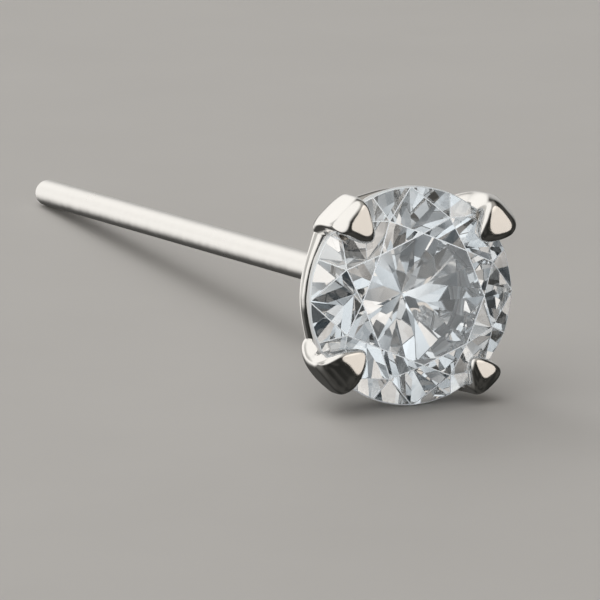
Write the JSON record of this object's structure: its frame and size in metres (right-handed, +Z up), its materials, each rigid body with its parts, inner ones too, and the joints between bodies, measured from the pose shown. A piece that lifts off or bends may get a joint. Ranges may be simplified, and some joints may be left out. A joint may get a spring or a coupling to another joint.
{
  "type": "nose stud",
  "caption": "Straight-post nose stud with a round brilliant-cut clear stone held by four broad claws over a thin gallery ring.",
  "frame": {"origin": "on the surface the stud lies on, under the middle of its box", "axes": "+Z up, +Y level along the stud from the stone to the post's end, +X across"},
  "size_m": [0.004, 0.0194, 0.004],
  "materials": {
    "stone": "polished facets",
    "metal": "bright polish"
  },
  "bodies": {
    "root": {"stone": "stone", "setting": "metal"}
  },
  "joints": []
}
